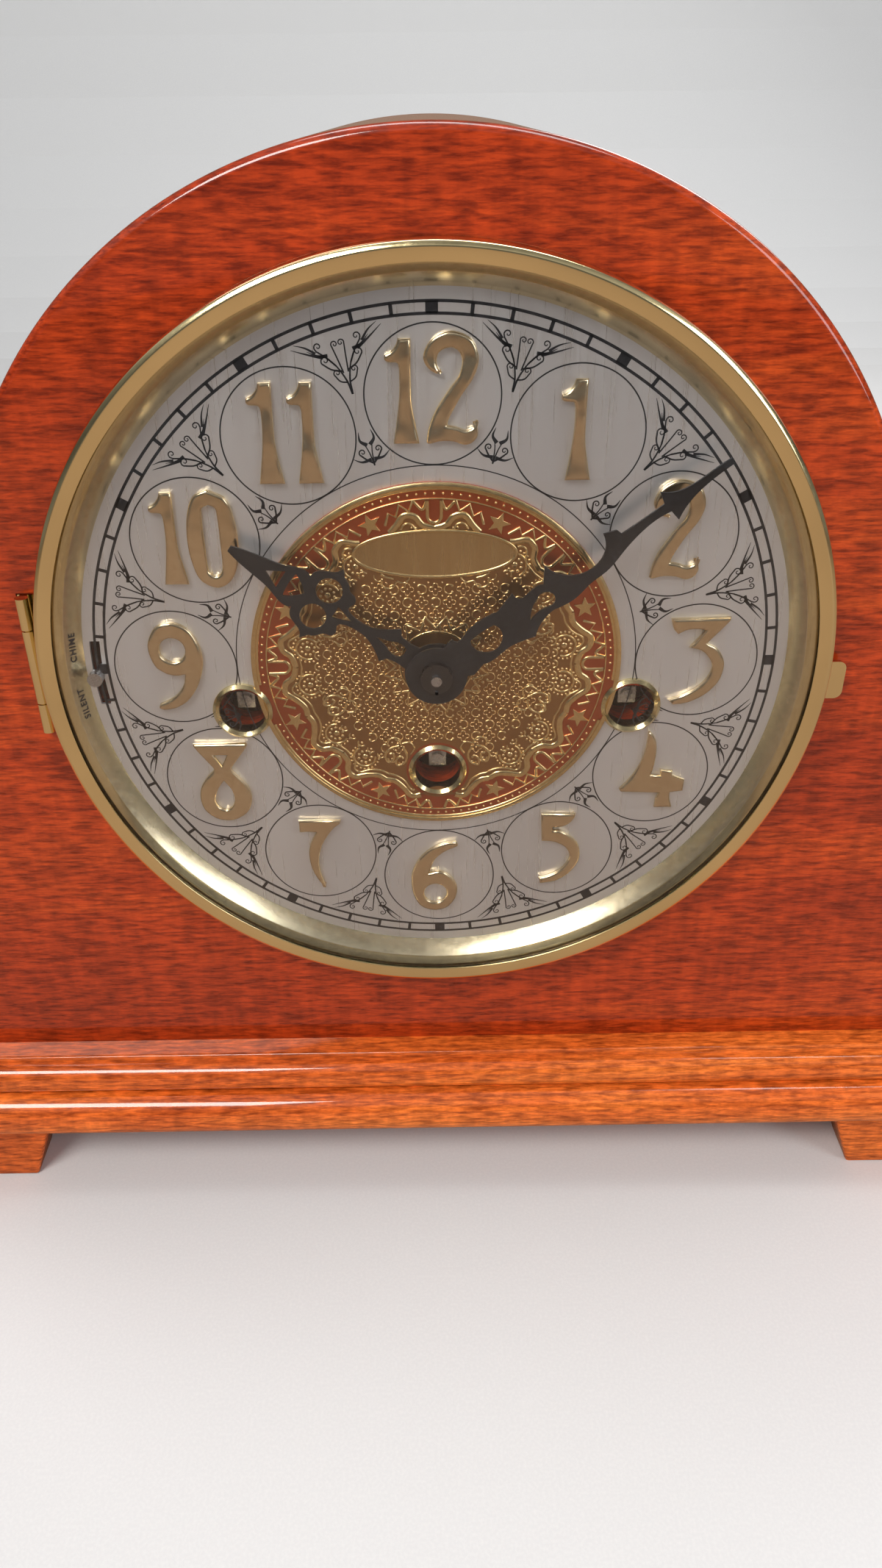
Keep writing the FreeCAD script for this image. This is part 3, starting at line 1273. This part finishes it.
def make_motion_work():
    gap, thick, plate = S.running_gap, S.wheel_thick, S.plate
    inner_end = S.plate_spacing - gap * 4
    arbor = staff("centre", 0, 0, [
        (-face_to_inner - S.nut_tip_rise, gap * 4, S.centre_pivot),
        (gap * 4, inner_end, S.arbor_radius),
        (inner_end, S.plate_spacing + plate, S.pivot_radius)])
    big = wheel("centre_wheel", 0, 0, thick * 2, CENTRE_WHEEL_TEETH, S.centre_module, thick, *P["third"],
                S.arbor_radius)
    small = pinion("centre_pinion", 0, 0, LAYER_BACK + thick, CENTRE_PINION_TEETH, S.motion_module,
                   S.pinion_long, *P["intermediate"], S.arbor_radius)
    keep(grouped("centre_arbor", [arbor, big, small]), "centre_arbor")
    rear = -plate - gap * 5
    seat = -face_to_inner - S.minute_rise
    tip = seat - S.hand_thick
    pipe = sleeve("cannon_pipe", 0, 0, [(tip, seat, S.cannon_radius - S.pipe_seat),
                                        (seat, rear, S.cannon_radius)], S.centre_pivot)
    teeth = pinion("cannon_teeth", 0, 0, rear, CANNON_TEETH, S.motion_module, thick * CANNON_SHARE,
                   *P["minute_wheel"], S.cannon_radius, True)
    keep(grouped("cannon", [pipe, teeth]), "cannon_pinion")
    x, z = P["minute_wheel"]
    wheel_back = rear - gap * 8
    bore = S.centre_pivot + gap
    low = wheel("minute_disc", x, z, wheel_back, MINUTE_WHEEL_TEETH, S.motion_module, thick, 0, 0, bore,
                on_tooth=False)
    leaves = pinion("minute_leaves", x, z, wheel_back - thick, MINUTE_PINION_TEETH, S.hour_module,
                    S.movement_gap - thick * 3, 0, 0, bore, True)
    keep(grouped("minute_wheel", [low, leaves]), "minute_wheel")
    hour_back = -plate - S.movement_gap / 2
    seat = -face_to_inner - S.hour_rise
    tip = seat - S.hand_thick
    pipe = sleeve("hour_pipe", 0, 0, [(tip, seat, S.hour_pipe_radius - S.pipe_seat),
                                      (seat, hour_back, S.hour_pipe_radius)], S.cannon_radius + gap)
    teeth = wheel("hour_teeth", 0, 0, hour_back, HOUR_WHEEL_TEETH, S.hour_module, thick, x, z,
                  S.hour_pipe_radius, on_tooth=False)
    keep(grouped("hour_wheel", [pipe, teeth]), "hour_wheel")


def make_train():
    gap, thick = S.running_gap, S.wheel_thick
    end = S.plate_spacing

    def arbor(label, place, shoulder=gap * 4, radius=S.arbor_radius):
        return staff(label, *P[place], [
            (-S.plate, shoulder, S.pivot_radius), (shoulder, end - gap * 4, radius),
            (end - gap * 4, end + S.plate, S.pivot_radius)])

    low = (0, -S.winding_low_drop)
    x, z = P["intermediate"]
    pinion_back = GREAT_BACK + thick / 2
    leaves = pinion("intermediate_leaves", x, z, pinion_back, DRIVEN_TEETH, S.great_module,
                    S.pinion_long, *low)
    disc = wheel("intermediate_disc", x, z, LAYER_BACK, INTERMEDIATE_TEETH, S.motion_module, thick, 0, 0,
                 S.arbor_radius)
    shaft = joined("intermediate_shaft", [arbor("intermediate_arbor", "intermediate", thick * 3), leaves])
    keep(grouped("intermediate", [shaft, disc]), "intermediate_wheel")
    x, z = P["third"]
    leaves = pinion("third_leaves", x, z, thick * 2.6, THIRD_PINION_TEETH, S.centre_module,
                    S.pinion_long * 0.9, 0, 0)
    disc = wheel("third_disc", x, z, thick * 6, THIRD_WHEEL_TEETH, S.third_module, thick, *P["escape"],
                 S.slim_radius)
    shaft = joined("third_shaft", [arbor("third_arbor", "third", radius=S.slim_radius), leaves])
    keep(grouped("third", [shaft, disc]), "third_wheel")
    x, z = P["escape"]
    leaves = pinion("escape_leaves", x, z, thick * 6.6, ESCAPE_PINION_TEETH, S.third_module, S.pinion_long,
                    *P["third"])
    module = S.escape_radius * 2 / ESCAPE_TEETH
    disc = toothed(ESCAPE_TEETH, worth(module), thick, 0.12, S.slim_radius, 0.0, 2.4)
    shaft = joined("escape_shaft", [arbor("escape_arbor", "escape", radius=S.slim_radius), leaves])
    keep(grouped("escape", [shaft, shaped("escape_disc", disc, in_train(x, z, thick * 10))]), "escape_wheel")
    make_anchor()
    for name, side in (("strike", -1), ("chime", 1)):
        barrel = (side * S.winding_half_span, -S.winding_side_drop)
        second = P[name + "_second"]
        leaves = pinion(name + "_leaves", *second, pinion_back, DRIVEN_TEETH, S.great_module, S.pinion_long,
                        *barrel)
        discs = [wheel(name + "_disc", *second, LAYER_BACK, WARNING_WHEEL_TEETH, S.third_module, thick,
                       *P[name + "_fly"], S.arbor_radius)]
        if side < 0:
            shaft = arbor("strike_arbor", "strike_second")
        else:
            tail = end + S.plate + thick * 2.5
            shaft = staff("chime_arbor", *second, [
                (-S.plate, gap * 4, S.pivot_radius), (gap * 4, tail, S.arbor_radius)])
            discs.append(wheel("chime_rear_disc", *second, tail, DRUM_TEETH, S.drum_module, thick,
                               *P["idler"], S.arbor_radius, on_tooth=False))
        label = "strike_pin_wheel" if side < 0 else "chime_second_wheel"
        keep(grouped(name + "_second", [joined(name + "_second_shaft", [shaft, leaves])] + discs), label)
        make_fly(name, arbor(name + "_fly_arbor", name + "_fly", radius=S.slim_radius))


def make_fly(name, arbor):
    """A two-bladed air brake with its pinion."""
    x, z = P[name + "_fly"]
    front = S.barrel_front
    low = in_train(x - S.fly_radius, z - S.running_gap * 6, front)
    high = (x + S.fly_radius, inner_y + front + S.fly_depth, S.dial_height + z + S.running_gap * 6)
    vane = block(name + "_vane", low, high)
    leaves = pinion(name + "_fly_leaves", x, z, LAYER_BACK + S.wheel_thick * 0.6, FLY_PINION_TEETH,
                    S.third_module, S.pinion_long, *P[name + "_second"])
    keep(joined(name + "_fly", [arbor, vane, leaves]), name + "_fly")


def make_anchor():
    """The rocking lever over the escape wheel, its two pallets just clear of the teeth."""
    x, z = P["anchor"]
    span, drop = S.anchor_span, S.anchor_rise
    back = S.wheel_thick * 10
    thick = S.wheel_thick
    hub = S.arbor_radius * 1.4
    foot = drop * 0.42
    loop = [(-span, -foot), (-span * 0.7, -foot), (-span * 0.55, -foot * 0.5), (span * 0.55, -foot * 0.5),
            (span * 0.7, -foot), (span, -foot), (span * 0.9, -foot * 0.2), (hub, hub), (-hub, hub),
            (-span * 0.9, -foot * 0.2)]
    plate = prism("anchor_plate", [loop], in_train(x, z, back), thick)
    gap = S.running_gap
    arbor = staff("anchor_arbor", x, z, [
        (-S.plate, gap * 4, S.pivot_radius), (gap * 4, S.plate_spacing - gap * 4, S.arbor_radius * 0.8),
        (S.plate_spacing - gap * 4, S.plate_spacing + S.plate, S.pivot_radius)])
    keep(joined("anchor", [plate, arbor]), "anchor_lever")


def make_barrels():
    """Three spring barrels: a toothed drum, its lid and the wound spring inside it."""
    names = ("strike", "time", "chime")
    targets = (P["strike_second"], P["intermediate"], P["chime_second"])
    r, wall = S.barrel_radius, S.barrel_wall
    bore = S.winding_radius + S.running_gap
    front, depth = S.barrel_front, S.barrel_depth
    thick = S.wheel_thick
    for name, target, (x, z) in zip(names, targets, winding_places()):
        back = front + depth
        shell = [(bore, -back), (r, -back), (r, -front - wall), (r - wall, -front - wall),
                 (r - wall, wall - back), (bore, wall - back)]
        cup = turned(name + "_drum", [shell], in_train(x, z, 0))
        teeth = wheel(name + "_great", x, z, back + thick, GREAT_TEETH, S.great_module, thick, *target, bore)
        lid = tube(name + "_lid", r, bore, wall, in_train(x, z, front + wall))
        spring = tube(name + "_spring", r - wall * 1.5, S.winding_radius * 2, depth - wall * 3,
                      in_train(x, z, back - wall))
        keep(grouped(name + "_barrel_set", [cup, teeth, lid, spring]), name + "_barrel")
        make_winding_arbor(name, x, z)
    make_clicks()


def make_winding_arbor(name, x, z):
    """The arbor that a key turns: a square end in front, a ratchet, and a plain shaft."""
    tip = -face_to_inner + S.winding_tip_set
    half = S.winding_square / 2
    shoulder = -S.plate - S.ratchet_thick * 2
    shaft = staff(name + "_shaft", x, z, [
        (tip, tip + S.winding_tip, S.winding_tip_radius),
        (tip + S.winding_tip, shoulder, half * 0.98),
        (shoulder, S.plate_spacing, S.winding_radius),
        (S.plate_spacing, S.plate_spacing + S.plate, S.arbor_radius)])
    square = block(name + "_square", in_train(x - half, z - half, tip + S.winding_tip),
                   (x + half, inner_y + shoulder + S.running_gap, S.dial_height + z + half))
    module = S.ratchet_radius * 2 / RATCHET_TEETH
    disc = toothed(RATCHET_TEETH, worth(module), S.ratchet_thick, 0.2, S.winding_radius, 0.0, 1.4)
    ratchet = shaped(name + "_ratchet", disc, in_train(x, z, -S.plate - S.running_gap * 5))
    keep(grouped(name + "_winding", [joined(name + "_key_shaft", [shaft, square]), ratchet]),
         name + "_winding_arbor")


def make_clicks():
    """A click beside each ratchet, on its own screw."""
    clicks = []
    start = S.ratchet_radius + S.running_gap * 6
    for (x, z), side in zip(winding_places(), (-1, 1, 1)):
        w, t = S.click_wide, S.click_long
        loop = [(x + side * start, z), (x + side * (start + w), z - w), (x + side * (start + w), z + t),
                (x + side * (start + w * 0.4), z + t)]
        pawl = prism("pawl", [loop], in_train(0, 0, -S.plate), S.ratchet_thick)
        screw = rod("pawl_screw", w * 0.42, S.ratchet_thick * 1.8,
                    in_train(x + side * (start + w * 0.7), z + t * 0.6, -S.plate))
        clicks.append(joined("click", [pawl, screw]))
    keep(grouped("clicks", clicks), "ratchet_clicks")


def make_balance():
    """A balance on an upright staff between two arms behind the back plate."""
    x, z = P["escape"][0], S.balance_rise
    y = back_plate_y + S.balance_set
    half = S.balance_half_height
    gap = S.running_gap
    band, r = S.balance_band, S.balance_radius
    ring = tube("balance_ring", r, r - band, band, (x, y, S.dial_height + z - band / 2), "up")
    bar = block("balance_bar", (x - r + band / 2, y - band / 2, S.dial_height + z - band / 4),
                (x + r - band / 2, y + band / 2, S.dial_height + z + band / 4))
    staff_rod = rod("balance_staff", S.arbor_radius, (half - gap) * 2,
                    (x, y, S.dial_height + z - half + gap), "up")
    pivots = rod("balance_pivot", S.pivot_radius, (half + S.bracket_thick / 2) * 2,
                 (x, y, S.dial_height + z - half - S.bracket_thick / 2), "up")
    keep(joined("balance", [ring, bar, staff_rod, pivots]), "balance_wheel")
    arms = []
    for low in (z - half - S.bracket_thick, z + half):
        arm = block("balance_arm", (x - band * 1.5, back_plate_y, S.dial_height + low),
                    (x + band * 1.5, y + band * 1.5, S.dial_height + low + S.bracket_thick))
        bore = rod("arm_bore", S.pivot_radius + gap, S.bracket_thick * 3,
                   (x, y, S.dial_height + low - S.bracket_thick), "up")
        arms.append(less("balance_arm_cut", arm, [bore]))
    return arms


def chime_back():
    """How far behind the back plate the rear bracket stands."""
    return S.hammer_first * 1.5 + S.hammer_pitch * HAMMERS


def make_chime():
    gap, thick = S.running_gap, S.wheel_thick
    rear_face = S.plate_spacing + S.plate
    first, pitch = S.hammer_first, S.hammer_pitch
    bracket_front = rear_face + chime_back()
    ix, iz = P["idler"]
    layer = rear_face + thick * 2.5
    keep(wheel("idler_disc", ix, iz, layer, IDLER_TEETH, S.drum_module, thick, *P["chime_second"],
               S.arbor_radius + gap), "chime_idler_wheel")
    dx, dz = P["drum"]
    drum = [staff("drum_arbor", dx, dz, [
        (S.plate_spacing, rear_face + gap * 4, S.pivot_radius),
        (rear_face + gap * 4, layer + thick / 2, S.arbor_radius),
        (layer + thick / 2, bracket_front - gap * 5, S.drum_radius * 0.8),
        (bracket_front - gap * 5, bracket_front + S.bracket_thick, S.pivot_radius)])]
    drum.append(wheel("drum_disc", dx, dz, layer, DRUM_TEETH, S.drum_module, thick, ix, iz, S.arbor_radius))
    module = S.drum_radius * 2 / CAM_TEETH
    rise = worth(S.cam_rise / module)
    full_turn = 360
    for i in range(HAMMERS):
        cam = toothed(CAM_TEETH, worth(module), S.hammer_thick, 0.3, S.drum_radius * 0.8, rise, rise)
        spin = full_turn / CAM_TEETH / HAMMERS * i
        back = rear_face + first + pitch * i + S.hammer_thick / 2
        drum.append(shaped("cam", cam, in_train(dx, dz, back), spin))
    keep(grouped("chime_drum", drum), "chime_drum")
    px, pz = S.hammer_pivot_x, -S.hammer_pivot_z
    head_x = px - S.hammer_reach
    tip_z = pz - S.hammer_drop - S.hammer_head - S.hammer_tip
    tail_x = dx + S.drum_radius + S.cam_rise + gap * 18
    for i in range(HAMMERS):
        y = rear_face + first + pitch * i
        half = S.hammer_thick / 2
        loop = [(px, pz + half * 2), (head_x, pz - S.hammer_drop + half),
                (head_x, pz - S.hammer_drop - half * 2), (px, pz - half * 2)]
        tail_z = dz - S.drum_radius / 3
        tail = [(px + half, pz), (tail_x, tail_z), (tail_x + half * 2, tail_z), (px + half * 3, pz)]
        parts = [prism("hammer_arm", [loop], in_train(0, 0, y + half), S.hammer_thick),
                 prism("hammer_tail", [tail], in_train(0, 0, y + half), S.hammer_thick),
                 rod("hammer_hub", S.hammer_hub, pitch - gap * 4, in_train(px, pz, y + pitch / 2 - gap * 2))]
        top_z = S.dial_height + pz - S.hammer_drop + half
        head_y = inner_y + y
        parts.append(rod("hammer_head", S.hammer_head_radius, S.hammer_head,
                         (head_x, head_y, top_z - S.hammer_head), "up"))
        parts.append(rod("hammer_felt", S.hammer_head_radius * 0.7, S.hammer_tip + half,
                         (head_x, head_y, top_z - S.hammer_head - S.hammer_tip), "up"))
        bore = rod("hammer_bore", S.arbor_radius + gap, pitch * 3, in_train(px, pz, y + pitch * 1.5))
        keep(less("hammer", joined("hammer_blank", parts), [bore]), f"chime_hammer_{i + 1}")
    make_rods(head_x, tip_z, rear_face)
    return bracket_front


def make_rods(head_x, tip_z, rear_face):
    """Five sounding rods in an iron block, one under each hammer."""
    top = tip_z - S.rod_gap + S.hammer_thick / 2
    z = S.dial_height + top - S.rod_radius
    near, far = -S.rod_block_near, -S.rod_block_far
    margin = S.rod_block_margin
    y0 = inner_y + rear_face + S.hammer_first
    rods, bores = [], []
    for i in range(HAMMERS):
        y = y0 + S.hammer_pitch * i
        length = S.rod_block_near + S.hammer_reach * (1.2 - 0.16 * i)
        start = near - S.rod_block_margin
        rods.append(rod("sounding_rod", S.rod_radius, length, (start, y, z), "side"))
        bores.append(rod("rod_seat", S.rod_radius, S.rod_block_margin * 2, (start, y, z), "side"))
    keep(grouped("rods", rods), "chime_rods")
    iron = block("rod_iron", (far, y0 - margin, base_top),
                 (near, y0 + S.hammer_pitch * (HAMMERS - 1) + margin, z + S.rod_block_cover))
    keep(less("rod_block", iron, bores), "chime_rod_block")


def make_brackets(bracket_front, arms):
    """The rear bracket that carries the drum and the hammer arbor, and the balance arms."""
    rear_face = S.plate_spacing + S.plate
    dx, dz = P["drum"]
    px, pz = S.hammer_pivot_x, -S.hammer_pivot_z
    m = S.bracket_margin
    right = px + m
    wide = right + S.hammer_hub * 1.5
    left = dx - m / 2
    top = P["idler"][1] - m / 2
    loop = [(left, dz - m / 2), (px - m / 2, pz - m / 2), (right, pz - m / 2), (wide, top), (left, dz + m)]
    plate = prism("rear_plate", [loop], in_train(0, 0, bracket_front + S.bracket_thick), S.bracket_thick)
    post_places = ((right - S.hammer_hub, pz), (wide - S.hammer_hub, top - m / 3))
    posts = [rod("bracket_post", S.arbor_radius * 1.5, chime_back() + S.bracket_thick,
                 in_train(x, z, rear_face), "back") for x, z in post_places]
    pin = rod("hammer_pin", S.arbor_radius, chime_back() + S.bracket_thick,
              in_train(px, pz, rear_face), "back")
    bore = rod("drum_pivot_hole", S.pivot_radius + S.running_gap, S.bracket_thick * 4,
               in_train(dx, dz, bracket_front + S.bracket_thick * 2))
    frame = less("rear_frame", joined("rear_frame_blank", [plate, pin] + posts), [bore])
    keep(grouped("brackets", [frame] + arms), "rear_brackets")


def make_lever():
    """The lever that silences the chime: its stem comes through the dial's slot."""
    x, z = -S.lever_pivot_x, lever_z()
    reach = S.slot_radius
    half = S.lever_arm_height / 2
    back = -S.plate - S.lever_set
    loop = [(x, z - half), (x, z + half), (-reach, z + half), (-reach, z - half)]
    arm = prism("lever_arm", [loop], in_train(0, 0, back), S.lever_thick)
    hub = rod("lever_hub", S.arbor_radius * 2, S.lever_thick, in_train(x, z, back))
    stem = rod("lever_stem", S.lever_stem_radius, face_to_inner + back + S.lever_knob / 2,
               in_train(-reach, z, back))
    knob = rod("lever_knob", S.lever_knob_radius, S.lever_knob, on_dial(-reach, S.lever_knob / 2, z))
    bore = rod("lever_bore", S.arbor_radius + S.running_gap, S.lever_thick * 3,
               in_train(x, z, back + S.lever_thick))
    keep(less("lever", joined("lever_blank", [arm, hub, stem, knob]), [bore]), "chime_silent_lever")


make_front_panel()
make_case_screws(make_back_panel(), make_wrap())
make_base()
make_feet()
make_sight_ring()
make_dial()
make_numerals()
make_bezel()
make_hands()
make_plates()
make_motion_work()
make_train()
make_barrels()
arms = make_balance()
bracket_front = make_chime()
make_brackets(bracket_front, arms)
make_lever()

doc.recompute()
for item in doc.Objects:
    if "Invalid" in item.State or "Error" in item.State:
        raise RuntimeError(f"{item.Name} ({item.Label}) failed: {item.State}")
os.makedirs("parts", exist_ok=True)
for item in nodes:
    shape = item.Shape
    if shape.isNull() or not shape.isValid() or not shape.Solids:
        raise RuntimeError(f"{item.Label} has no valid solid")
    shape.exportStep(f"parts/{item.Label}.step")
print(f"{len(nodes)} nodes, {sum(len(n.Shape.Solids) for n in nodes)} solids")
